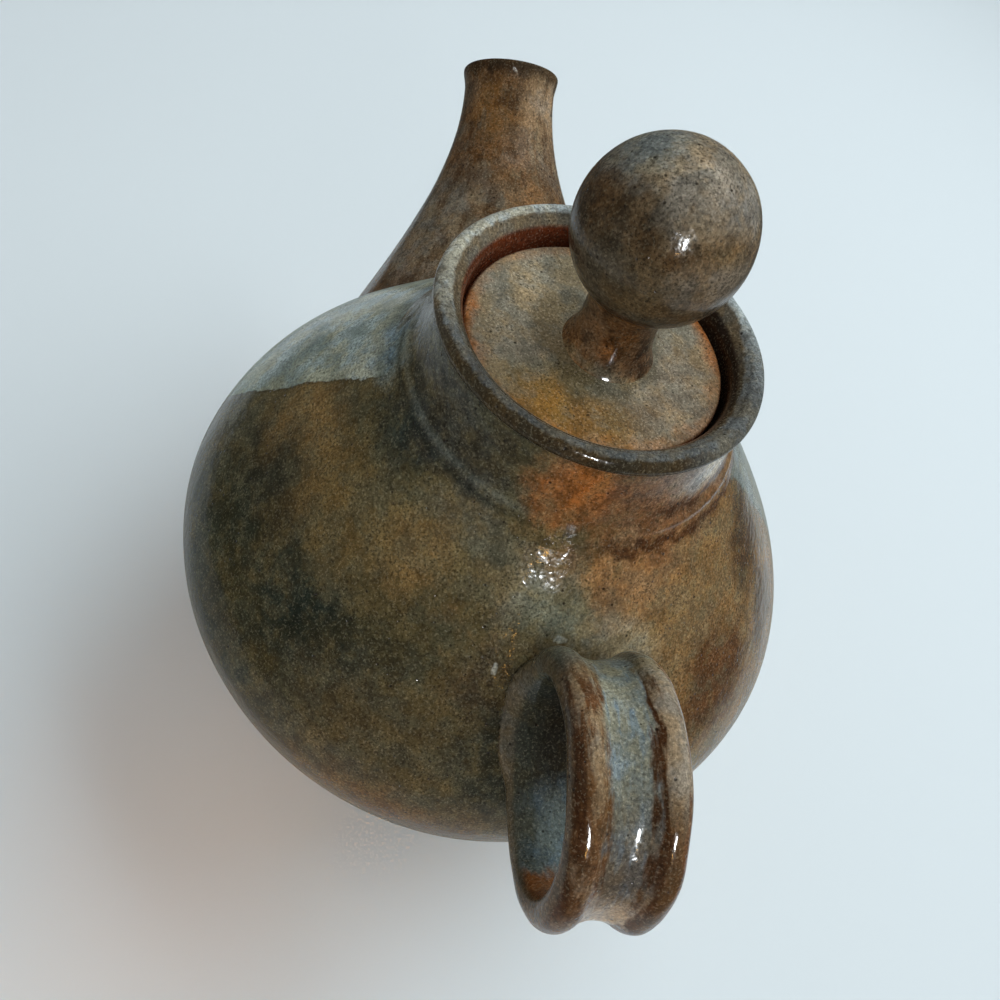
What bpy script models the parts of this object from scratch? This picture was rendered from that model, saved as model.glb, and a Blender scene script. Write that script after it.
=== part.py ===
"""Pottery teapot: thrown body and collar, sunken lid with a ball knob, cone spout and ring handle.

Metres, +Z up. The origin is the centre of the flat base, on the pot's axis. The spout points along +X
and the handle along -X. Each thrown piece is its own object.
"""
import math

import bmesh
import bpy
from mathutils import Matrix, Vector

# Body: a squat globe with a conical shoulder on a flat turned base
BELLY_RADIUS = 0.0700
BELLY_LEVEL = 0.0469
BASE_RADIUS = 0.0390
BASE_BEVEL = 0.0014
SHOULDER_RADIUS = 0.0329
SHOULDER_LEVEL = 0.1009
WALL = 0.0050
FLOOR = 0.0060

# Collar: a short neck with a rolled rim outside and a gallery inside for the lid
COLLAR_WAIST_RADIUS = 0.0297
RIM_RADIUS = 0.0309
RIM_LEVEL = 0.1194
RIM_ROLL = 0.0019
ROLL_START = -60.0
ROLL_END = 150.0
LEDGE_DEPTH = 0.0046
THROAT_RADIUS = 0.0210

# Lid: a flat disc sunk below the rim, with a locating flange beneath
LID_RADIUS = 0.0247
LID_SINK = 0.0055
LID_THICKNESS = 0.0042
LID_EDGE = 0.0008
LID_DISH = 0.0006
FLANGE_WALL = 0.0035
FLANGE_DEPTH = 0.0060

# Knob: a ball on a waisted stem, luted a little off the lid's centre
KNOB_RADIUS = 0.0148
KNOB_OFFSET = 0.0012
STEM_FOOT_RADIUS = 0.0096
STEM_FOOT_EDGE = 0.0006
STEM_FOOT_OFFSET = 0.0024
STEM_WAIST_RADIUS = 0.0068
STEM_TOP_RADIUS = 0.0080
STEM_HEIGHT = 0.0135

# Spout: a thrown cone whose mouth leans away from the pot
SPOUT_REACH = 0.0986
SPOUT_MOUTH_LEVEL = 0.1021
SPOUT_ANGLE = math.radians(42.8)
SPOUT_LENGTH = 0.0700
SPOUT_LIP_RADIUS = 0.0117
SPOUT_NECK_RADIUS = 0.0111
SPOUT_NECK_RUN = 0.0050
SPOUT_ROOT_RADIUS = 0.0400
SPOUT_WALL = 0.0032
SPOUT_ROOT_WALL = 0.0045
SPOUT_LIP_BEVEL = 0.0008

# Strainer: a pierced piece of wall in the hole behind the spout
STRAINER_RADIUS = 0.0175
STRAINER_HOLE_RADIUS = 0.0022
STRAINER_PITCH = 0.0082
STRAINER_HOLES = 6

# Handle: a short thrown tube with a bead at each edge, luted on its side by hand, a few degrees askew
HANDLE_SINK = 0.0025
HANDLE_RADIUS = 0.0218
HANDLE_BORE = 0.0159
HANDLE_WIDTH = 0.0185
HANDLE_BEAD = 0.0029
HANDLE_GROOVE = 0.0023
HANDLE_EDGE = 0.0010
BEAD_START = 120.0
BEAD_END = -35.0
HANDLE_SWING = math.radians(-2.9)
HANDLE_TWIST = math.radians(-2.75)
HANDLE_LEAN = math.radians(-3.4)

# Clearances
SEAT_GAP = 0.0003
LID_CLEARANCE = 0.0006
FLANGE_CLEARANCE = 0.0008
OVERRUN = 0.0100
MERGE = 0.00001

# Curves, as shares of the sizes that they join
SHOULDER_PULL_shares = (0.290, 0.470, 0.400)
BELLY_PULL_shares = (0.448, 0.549, 0.239)
COLLAR_FOOT_share = 0.35
RIM_SLOPE_share = 0.45
SPOUT_PULL_shares = (0.36, 0.30, 0.62)
SPOUT_UNDERSIDE_share = 0.62
LID_FLANGE_ROOT_share = 0.5
STEM_WAIST_share = 0.62
HANDLE_PLACE_share = 0.546

# Facets
BODY_STEPS = 60
SMALL_STEPS = 36
CURVE_POINTS = 8
ARC_POINTS = 4
HOLE_SIDES = 10
SMOOTH_BELOW = 35.0


def clear_scene():
    """Start from an empty scene."""
    for item in list(bpy.data.objects):
        bpy.data.objects.remove(item, do_unlink=True)


def stoneware(name, colour, roughness):
    """A glazed clay, one per piece."""
    material = bpy.data.materials.new(name)
    material.use_nodes = True
    shader = material.node_tree.nodes["Principled BSDF"]
    shader.inputs["Base Color"].default_value = (*colour, 1.0)
    shader.inputs["Roughness"].default_value = roughness
    shader.inputs["Metallic"].default_value = 0.0
    return material


def along_cubic(corners, share):
    """The point at a share of a cubic curve's run, from 0 to 1."""
    rest = 1.0 - share
    weights = (rest ** 3, 3 * rest * rest * share, 3 * rest * share * share, share ** 3)
    return tuple(sum(w * corner[k] for w, corner in zip(weights, corners)) for k in (0, 1))


def bezier(start, first, second, end, count):
    """Points of a cubic curve, its start left out."""
    return [along_cubic((start, first, second, end), i / count) for i in range(1, count + 1)]


def arc(centre, radius, start_degrees, end_degrees, count):
    """Points of an arc in an outline's (radius, height) plane."""
    points = []
    for i in range(count + 1):
        angle = math.radians(start_degrees + (end_degrees - start_degrees) * i / count)
        points.append((centre[0] + radius * math.cos(angle), centre[1] + radius * math.sin(angle)))
    return points


def grown(outline, distance):
    """An open outline moved along its left normals by a distance."""
    result = []
    for i, point in enumerate(outline):
        before = Vector(outline[max(i - 1, 0)])
        after = Vector(outline[min(i + 1, len(outline) - 1)])
        along = (after - before).normalized()
        result.append((point[0] - along.y * distance, point[1] + along.x * distance))
    return result


def turned(name, outline, steps, closed, material=None):
    """Turn an outline of (radius, height) points about Z into one closed solid."""
    mesh = bmesh.new()
    ring = [mesh.verts.new((radius, 0.0, height)) for radius, height in outline]
    edges = [mesh.edges.new(pair) for pair in zip(ring, ring[1:])]
    if closed:
        edges.append(mesh.edges.new((ring[-1], ring[0])))
    bmesh.ops.spin(mesh, geom=ring + edges, cent=(0.0, 0.0, 0.0), axis=(0.0, 0.0, 1.0),
                   angle=math.tau, steps=steps, use_merge=True)
    bmesh.ops.remove_doubles(mesh, verts=mesh.verts, dist=MERGE)
    bmesh.ops.recalc_face_normals(mesh, faces=mesh.faces)
    return finish(name, mesh, material)


def finish(name, mesh, material):
    """Make an object from a bmesh and shade its round faces smooth."""
    data = bpy.data.meshes.new(name)
    mesh.to_mesh(data)
    mesh.free()
    item = bpy.data.objects.new(name, data)
    bpy.context.collection.objects.link(item)
    if material:
        data.materials.append(material)
    data.shade_smooth()
    data.set_sharp_from_angle(angle=math.radians(SMOOTH_BELOW))
    return item


def as_tool(item):
    """A cutter: drawn as wire and left out of the part."""
    item.hide_render = True
    item.display_type = "WIRE"
    return item


def boolean(item, tool, operation):
    """Cut, join or keep what an item shares with a tool."""
    change = item.modifiers.new(operation.title(), "BOOLEAN")
    change.operation = operation
    change.solver = "EXACT"
    change.object = tool


def rod(name, radius, start, end, sides):
    """A round cutter between two points."""
    along = end - start
    mesh = bmesh.new()
    place = Matrix.Translation((start + end) / 2) @ along.to_track_quat("Z", "Y").to_matrix().to_4x4()
    bmesh.ops.create_cone(mesh, cap_ends=True, segments=sides, radius1=radius, radius2=radius,
                          depth=along.length, matrix=place)
    return as_tool(finish(name, mesh, None))


def shoulder_corners(radius, shoulder_radius):
    """The four corners of the shoulder's curve, from the widest ring up to the collar."""
    slope = radius - shoulder_radius
    rise = SHOULDER_LEVEL - BELLY_LEVEL
    high, high_in, high_down = SHOULDER_PULL_shares
    return ((radius, BELLY_LEVEL), (radius, BELLY_LEVEL + high * rise),
            (shoulder_radius + high_in * slope, SHOULDER_LEVEL - high_down * rise),
            (shoulder_radius, SHOULDER_LEVEL))


def belly_outline(radius, base_radius, base_level, shoulder_radius):
    """A body wall from its base up to the top of the shoulder."""
    sole = radius - base_radius
    drop = BELLY_LEVEL - base_level
    low, low_in, low_up = BELLY_PULL_shares
    widest = (radius, BELLY_LEVEL)
    below = bezier(widest, (radius, BELLY_LEVEL - low * drop),
                   (base_radius + low_in * sole, base_level + low_up * drop),
                   (base_radius, base_level), CURVE_POINTS)
    above = bezier(*shoulder_corners(radius, shoulder_radius), CURVE_POINTS)
    return below[::-1] + [widest] + above


def body_outer():
    """The outer wall, from the base's edge to the shoulder's top."""
    return belly_outline(BELLY_RADIUS, BASE_RADIUS, BASE_BEVEL, SHOULDER_RADIUS)


def body_inner():
    """The chamber's wall, from the floor to the shoulder's top."""
    return belly_outline(BELLY_RADIUS - WALL, BASE_RADIUS - WALL, FLOOR, SHOULDER_RADIUS - WALL)


def spout_axis():
    """The mouth's centre and the direction from it down into the pot."""
    mouth = Vector((SPOUT_REACH, 0.0, SPOUT_MOUTH_LEVEL))
    inward = Vector((-math.cos(SPOUT_ANGLE), 0.0, -math.sin(SPOUT_ANGLE)))
    return mouth, inward


def pot_envelope(gap):
    """A solid of the whole pot's outside, grown by a gap, that saddles what is set on it."""
    wall = grown(body_outer(), -gap)
    bottom = (0.0, -OVERRUN)
    outline = [bottom, (wall[0][0], -OVERRUN)] + wall
    outline += [(wall[-1][0], SHOULDER_LEVEL + gap), (0.0, SHOULDER_LEVEL + gap)]
    return as_tool(turned("pot_envelope", outline, BODY_STEPS, False))


def strainer_rod(name, radius):
    """A rod down the spout's axis through the wall behind it."""
    mouth, inward = spout_axis()
    return rod(name, radius, mouth, mouth + inward * (SPOUT_LENGTH + OVERRUN), SMALL_STEPS)


def make_body():
    """The thrown pot: base, belly and conical shoulder, open at the neck and behind the spout."""
    outer = [(0.0, 0.0), (BASE_RADIUS - BASE_BEVEL, 0.0)] + body_outer()
    inner = body_inner()[::-1] + [(0.0, FLOOR)]
    clay = stoneware("body_glaze", (0.16, 0.13, 0.08), 0.28)
    body = turned("body", outer + inner, BODY_STEPS, False, clay)
    boolean(body, strainer_rod("strainer_hole", STRAINER_RADIUS + SEAT_GAP), "DIFFERENCE")
    return body


def make_strainer():
    """The pierced piece of wall behind the spout, in rings of holes about the spout's axis."""
    outer = body_outer()
    inner = body_inner()[::-1]
    clay = stoneware("strainer_clay", (0.20, 0.13, 0.08), 0.6)
    strainer = turned("strainer", outer + inner, BODY_STEPS, True, clay)
    boolean(strainer, strainer_rod("strainer_edge", STRAINER_RADIUS), "INTERSECT")
    mouth, inward = spout_axis()
    across = Vector((0.0, 1.0, 0.0))
    upward = inward.cross(across)
    for ring in range(2):
        count = max(ring * STRAINER_HOLES, 1)
        for i in range(count):
            angle = math.tau * i / count
            away = (across * math.cos(angle) + upward * math.sin(angle)) * (ring * STRAINER_PITCH)
            start = mouth + away
            tool = rod(f"strainer_drill_{ring}_{i}", STRAINER_HOLE_RADIUS, start,
                       start + inward * (SPOUT_LENGTH + OVERRUN), HOLE_SIDES)
            boolean(strainer, tool, "DIFFERENCE")
    return strainer


def make_collar():
    """The neck: foot on the shoulder, rolled rim, inner slope, gallery ledge and throat."""
    foot = SHOULDER_LEVEL + SEAT_GAP
    roll_level = RIM_LEVEL - RIM_ROLL
    height = roll_level - foot
    gallery = LID_RADIUS + LID_CLEARANCE
    ledge = lid_underside() - SEAT_GAP
    outside = bezier((SHOULDER_RADIUS, foot), (COLLAR_WAIST_RADIUS, foot + COLLAR_FOOT_share * height),
                     (COLLAR_WAIST_RADIUS, roll_level - COLLAR_FOOT_share * height),
                     (RIM_RADIUS - RIM_ROLL, roll_level - RIM_ROLL), ARC_POINTS)
    lip = arc((RIM_RADIUS - RIM_ROLL, roll_level), RIM_ROLL, ROLL_START, ROLL_END, 2 * ARC_POINTS)
    slope_level = RIM_LEVEL - RIM_SLOPE_share * (RIM_LEVEL - ledge)
    inside = [(gallery, slope_level), (gallery, ledge), (THROAT_RADIUS, ledge),
              (THROAT_RADIUS, ledge - LEDGE_DEPTH), (SHOULDER_RADIUS - WALL, foot)]
    clay = stoneware("collar_glaze", (0.22, 0.12, 0.08), 0.3)
    return turned("collar", [(SHOULDER_RADIUS, foot)] + outside + lip + inside, BODY_STEPS, True, clay)


def lid_top():
    """The level of the lid's upper face."""
    return RIM_LEVEL - LID_SINK


def lid_underside():
    """The level at which the lid rests on its ledge."""
    return lid_top() - LID_THICKNESS


def make_lid():
    """The sunk disc with its locating flange."""
    top = lid_top()
    under = lid_underside()
    flange = THROAT_RADIUS - FLANGE_CLEARANCE
    bore = flange - FLANGE_WALL
    edge = arc((LID_RADIUS - LID_EDGE, top - LID_EDGE), LID_EDGE, 0.0, 90.0, ARC_POINTS // 2)
    outline = [(0.0, under), (bore - FLANGE_WALL, under), (bore, under - LID_FLANGE_ROOT_share * FLANGE_WALL)]
    outline += [(bore, under - FLANGE_DEPTH), (flange, under - FLANGE_DEPTH), (flange, under)]
    outline += [(LID_RADIUS, under)] + edge
    outline += [(STEM_FOOT_RADIUS + STEM_FOOT_EDGE, top - LID_DISH), (0.0, top - LID_DISH)]
    return turned("lid", outline, BODY_STEPS, False, stoneware("lid_glaze", (0.27, 0.20, 0.13), 0.4))


def make_stem():
    """The waisted stem between lid and ball."""
    foot = lid_top() - LID_DISH + SEAT_GAP
    top = foot + STEM_HEIGHT
    waist = foot + STEM_WAIST_share * STEM_HEIGHT
    flare = bezier((STEM_FOOT_RADIUS, foot + STEM_FOOT_EDGE), (STEM_WAIST_RADIUS, foot + STEM_FOOT_EDGE),
                   (STEM_WAIST_RADIUS, waist), (STEM_WAIST_RADIUS, waist), CURVE_POINTS)
    outline = [(0.0, foot), (STEM_FOOT_RADIUS, foot), (STEM_FOOT_RADIUS, foot + STEM_FOOT_EDGE)] + flare
    outline += bezier((STEM_WAIST_RADIUS, waist), (STEM_WAIST_RADIUS, top), (STEM_TOP_RADIUS, top),
                      (STEM_TOP_RADIUS, top), ARC_POINTS)
    outline += [(0.0, top)]
    stem = turned("knob_stem", outline, SMALL_STEPS, False, stoneware("stem_glaze", (0.16, 0.09, 0.05), 0.2))
    for vertex in stem.data.vertices:
        risen = (vertex.co.z - foot) / STEM_HEIGHT
        vertex.co.y -= STEM_FOOT_OFFSET + risen * (KNOB_OFFSET - STEM_FOOT_OFFSET)
    return stem


def make_knob():
    """The ball, cut flat where it sits on its stem."""
    seat = lid_top() - LID_DISH + SEAT_GAP + STEM_HEIGHT + SEAT_GAP
    centre = seat + math.sqrt(KNOB_RADIUS ** 2 - STEM_TOP_RADIUS ** 2)
    start = -math.degrees(math.acos(STEM_TOP_RADIUS / KNOB_RADIUS))
    outline = [(0.0, seat)] + arc((0.0, centre), KNOB_RADIUS, start, 90.0, 2 * CURVE_POINTS)
    ball = turned("knob_ball", outline, SMALL_STEPS, False, stoneware("knob_glaze", (0.15, 0.11, 0.08), 0.3))
    ball.location = (0.0, -KNOB_OFFSET, 0.0)
    return ball


def spout_radii(wall, root_wall):
    """A spout wall's outline of (radius, depth from the mouth), from its lip to its root."""
    lip = SPOUT_LIP_RADIUS - wall
    neck = SPOUT_NECK_RADIUS - wall
    root = SPOUT_ROOT_RADIUS - root_wall
    run = SPOUT_LENGTH - SPOUT_NECK_RUN
    first, second, pull = SPOUT_PULL_shares
    swell = bezier((neck, SPOUT_NECK_RUN), (neck, SPOUT_NECK_RUN + first * run),
                   (neck + pull * (root - neck), SPOUT_LENGTH - second * run), (root, SPOUT_LENGTH), CURVE_POINTS)
    return [(lip, 0.0), (neck, SPOUT_NECK_RUN)] + swell


def make_spout():
    """The thrown cone, narrowed beneath, cut to the shoulder and open from mouth to root."""
    outer = spout_radii(0.0, 0.0)
    inner = spout_radii(SPOUT_WALL, SPOUT_ROOT_WALL)
    outer[0] = (outer[0][0], SPOUT_LIP_BEVEL)
    inner[0] = (inner[0][0], SPOUT_LIP_BEVEL)
    rim = [(inner[0][0] + SPOUT_LIP_BEVEL, 0.0), (outer[0][0] - SPOUT_LIP_BEVEL, 0.0)]
    outline = [(radius, -depth) for radius, depth in rim + outer + inner[::-1]]
    spout = turned("spout", outline, SMALL_STEPS, True, stoneware("spout_glaze", (0.17, 0.11, 0.07), 0.3))
    for vertex in spout.data.vertices:
        if vertex.co.x > 0.0:
            depth = min(-vertex.co.z / SPOUT_LENGTH, 1.0)
            vertex.co.x *= 1.0 - (1.0 - SPOUT_UNDERSIDE_share) * depth
    mouth, inward = spout_axis()
    spout.location = mouth
    spout.rotation_euler = (0.0, math.pi / 2 - SPOUT_ANGLE, 0.0)
    boolean(spout, pot_envelope(SEAT_GAP), "DIFFERENCE")
    return spout


def handle_centre():
    """The ring's centre, square off its seat on the shoulder, as a reach from the axis and a level."""
    corners = shoulder_corners(BELLY_RADIUS, SHOULDER_RADIUS)
    place = HANDLE_PLACE_share
    weights = ((1.0 - place) ** 2, 2 * place * (1.0 - place), place ** 2)
    sides = [Vector(after) - Vector(before) for before, after in zip(corners, corners[1:])]
    uphill = sum((weight * side for weight, side in zip(weights, sides)), Vector((0.0, 0.0))).normalized()
    outward = Vector((uphill.y, -uphill.x))
    return Vector(along_cubic(corners, place)) + outward * (HANDLE_RADIUS - HANDLE_SINK)


def make_handle():
    """The beaded ring, turned on its side, slightly askew and cut to the shoulder."""
    half = HANDLE_WIDTH / 2
    crest = HANDLE_RADIUS - HANDLE_BEAD
    middle = half - HANDLE_BEAD
    upper = arc((crest, middle), HANDLE_BEAD, BEAD_START, BEAD_END, 2 * ARC_POINTS)
    lower = [(radius, -height) for radius, height in upper[::-1]]
    groove = [(HANDLE_RADIUS - HANDLE_GROOVE, 0.0)]
    bore = [(HANDLE_BORE + HANDLE_EDGE, HANDLE_EDGE - half), (HANDLE_BORE, -middle), (HANDLE_BORE, middle),
            (HANDLE_BORE + HANDLE_EDGE, half - HANDLE_EDGE)]
    clay = stoneware("handle_glaze", (0.17, 0.12, 0.09), 0.25)
    handle = turned("handle_ring", upper + groove + lower + bore, SMALL_STEPS, True, clay)
    reach, level = handle_centre()
    handle.location = (-reach * math.cos(HANDLE_SWING), -reach * math.sin(HANDLE_SWING), level)
    handle.rotation_euler = (math.pi / 2 + HANDLE_LEAN, 0.0, HANDLE_SWING + HANDLE_TWIST)
    boolean(handle, bpy.data.objects["pot_envelope"], "DIFFERENCE")
    return handle


def main():
    """Throw and set out every piece of the pot."""
    clear_scene()
    make_body()
    make_collar()
    make_strainer()
    make_spout()
    make_handle()
    make_lid()
    make_stem()
    make_knob()


main()
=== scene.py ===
"""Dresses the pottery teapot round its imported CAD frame.

The pot is wheel-thrown stoneware: a round belly with a luted collar, a saddle-cut
spout with a pierced strainer behind it, and a grooved ring for a handle. A loose lid
with a ball knob drops into the collar. Every clay piece is turned again here at full
fineness, glazed, and stands for its CAD node on the same body.
"""

from __future__ import annotations

import logging
import math
from dataclasses import dataclass, field
from enum import Enum
from typing import Callable, Sequence

import bpy
from mathutils import Euler, Matrix, Vector

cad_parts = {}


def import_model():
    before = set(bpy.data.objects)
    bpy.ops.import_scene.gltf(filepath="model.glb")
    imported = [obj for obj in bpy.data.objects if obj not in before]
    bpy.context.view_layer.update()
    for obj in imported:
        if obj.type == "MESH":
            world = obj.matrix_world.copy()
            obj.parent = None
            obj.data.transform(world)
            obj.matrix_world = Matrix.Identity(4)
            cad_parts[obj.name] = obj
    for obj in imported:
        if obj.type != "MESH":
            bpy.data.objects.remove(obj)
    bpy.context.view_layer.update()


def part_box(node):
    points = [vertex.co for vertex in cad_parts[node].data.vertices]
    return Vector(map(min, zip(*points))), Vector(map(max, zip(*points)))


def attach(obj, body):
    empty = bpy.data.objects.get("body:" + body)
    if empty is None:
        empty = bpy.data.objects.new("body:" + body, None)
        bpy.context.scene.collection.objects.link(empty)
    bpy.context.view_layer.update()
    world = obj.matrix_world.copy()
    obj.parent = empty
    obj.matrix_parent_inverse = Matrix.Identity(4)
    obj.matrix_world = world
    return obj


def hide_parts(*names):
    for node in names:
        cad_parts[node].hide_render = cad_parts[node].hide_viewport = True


LOG = logging.getLogger("teapot")

MM = 0.001
MERGE = 0.00001
TURNS = 192
PLAIN_TURNS = 160
SLIM_TURNS = 144
STEM_TURNS = 96
PIT_CELLS = 540.0
PIT_RADIUS = 0.15
PIT_DEPTH = 0.12 * MM
COOL = (0.92, 1.0, 1.1, 1.0)
WARM = (1.08, 1.0, 0.86, 1.0)

Pair = tuple[float, float]
Triple = tuple[float, float, float]
Outline = list[Pair]
Colour = tuple[int, int, int]
Piece = bpy.types.Object
Tree = bpy.types.NodeTree
Socket = bpy.types.NodeSocket
Feed = Socket | float | tuple


class Part(Enum):
    """The two bodies of the frame that clay pieces ride on."""

    POT = "pot"
    LID = "lid"


def linear_colour(colour: Colour) -> tuple[float, ...]:
    """Turns a colour as seen on a screen into the shader's linear values.

    Args:
        colour: Red, green and blue from 0 to 255.

    Returns:
        The linear colour with full alpha.
    """

    def linear(level: int) -> float:
        """Undoes the screen's curve for one channel."""
        share = level / 255
        return share / 12.92 if share <= 0.04045 else ((share + 0.055) / 1.055) ** 2.4

    return *map(linear, colour), 1.0


def cubic(corners: Sequence[Pair], count: int) -> Outline:
    """Follows a cubic curve through its four corners.

    Args:
        corners: The start, its two pulls and the end, as radius and level.
        count: How many stretches the curve is cut into.

    Returns:
        The points after the first one.
    """
    points = []
    for step in range(1, count + 1):
        t = step / count
        weights = ((1 - t) ** 3, 3 * t * (1 - t) ** 2, 3 * t * t * (1 - t), t ** 3)
        points.append(tuple(sum(w * c[axis] for w, c in zip(weights, corners)) for axis in (0, 1)))
    return points


def arc(centre: Pair, radius: float, start: float, end: float, count: int) -> Outline:
    """Follows a round stretch of an outline.

    Args:
        centre: The arc's centre, as radius and level.
        radius: The arc's own radius.
        start: The first angle in degrees, from straight out towards straight up.
        end: The last angle in degrees.
        count: How many stretches the arc is cut into.

    Returns:
        The points, both ends included.
    """
    points = []
    for step in range(count + 1):
        angle = math.radians(start + (end - start) * step / count)
        points.append((centre[0] + radius * math.cos(angle), centre[1] + radius * math.sin(angle)))
    return points


class Bench:
    """Blender's edit-mode tools, used on one new piece at a time."""

    @staticmethod
    def clear() -> None:
        """Deselects every object."""
        bpy.ops.object.select_all(action="DESELECT")

    @staticmethod
    def take(piece: Piece) -> None:
        """Makes a piece the only selected one, and the active one."""
        Bench.clear()
        piece.select_set(True)
        bpy.context.view_layer.objects.active = piece

    @staticmethod
    def turn(name: str, outline: Outline, steps: int = TURNS) -> Piece:
        """Turns an outline once round the Z axis.

        Args:
            name: The new piece's name.
            outline: Radius and level of each point, ending on the axis or where it began.
            steps: How many stretches the full turn has.

        Returns:
            The closed piece, with its faces outwards.
        """
        Bench.clear()
        radius, level = outline[0]
        bpy.ops.mesh.primitive_plane_add(size=MM, location=(radius, 0, level), enter_editmode=True)
        bpy.ops.mesh.merge(type="CENTER")
        for (radius, level), (next_radius, next_level) in zip(outline, outline[1:]):
            way = (next_radius - radius, 0, next_level - level)
            bpy.ops.mesh.extrude_region_move(TRANSFORM_OT_translate={"value": way})
        bpy.ops.mesh.select_all(action="SELECT")
        bpy.ops.mesh.spin(steps=steps, angle=math.tau, center=(0, 0, 0), axis=(0, 0, 1))
        bpy.ops.mesh.select_all(action="SELECT")
        bpy.ops.mesh.remove_doubles(threshold=MERGE)
        bpy.ops.mesh.normals_make_consistent(inside=False)
        bpy.ops.object.mode_set(mode="OBJECT")
        piece = bpy.context.object
        piece.name = name
        piece.data.name = name
        Bench.settle(piece)
        return piece

    @staticmethod
    def settle(piece: Piece) -> None:
        """Puts a piece's place and turn into its mesh."""
        Bench.take(piece)
        bpy.ops.object.transform_apply(location=True, rotation=True, scale=True)

    @staticmethod
    def place(piece: Piece, where: Vector, turn: Triple = (0.0, 0.0, 0.0)) -> None:
        """Moves a piece to its place and turns it there.

        Args:
            piece: The piece, made round the origin.
            where: Its new centre.
            turn: Its turn about X, Y and Z in radians.
        """
        piece.location = where
        piece.rotation_euler = turn
        Bench.settle(piece)

    @staticmethod
    def wobble(piece: Piece, size: float, depth: float) -> None:
        """Takes the machine look off a turned piece with a soft unevenness.

        Args:
            piece: The piece.
            size: How wide the hollows and swellings are.
            depth: How far the clay moves in all.
        """
        texture = bpy.data.textures.new(f"{piece.name}_hand", "CLOUDS")
        texture.noise_scale = size
        texture.noise_depth = 1
        modifier = piece.modifiers.new("hand", "DISPLACE")
        modifier.texture = texture
        modifier.strength = depth
        modifier.mid_level = 0.5
        Bench.take(piece)
        bpy.ops.object.modifier_apply(modifier=modifier.name)

    @staticmethod
    def cut(piece: Piece, cutter: Piece, keep: str = "DIFFERENCE") -> None:
        """Cuts a piece with another one, which is used up.

        Args:
            piece: The piece that stays.
            cutter: The solid that cuts it.
            keep: DIFFERENCE to take the cutter's room away, INTERSECT to keep only that.
        """
        modifier = piece.modifiers.new("cut", "BOOLEAN")
        modifier.operation = keep
        modifier.solver = "EXACT"
        modifier.object = cutter
        Bench.take(piece)
        bpy.ops.object.modifier_apply(modifier=modifier.name)
        bpy.data.objects.remove(cutter)

    @staticmethod
    def smooth(piece: Piece, angle: float = 40) -> None:
        """Shades a piece smooth, apart from edges sharper than an angle in degrees."""
        Bench.take(piece)
        bpy.ops.object.shade_smooth_by_angle(angle=math.radians(angle))

    @staticmethod
    def press(piece: Piece, rule: Callable[[Vector], Vector]) -> None:
        """Moves every point of a piece's mesh by a rule.

        Args:
            piece: The piece.
            rule: Gives a point's new place from its old one.
        """
        for vertex in piece.data.vertices:
            vertex.co = rule(vertex.co)


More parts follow.
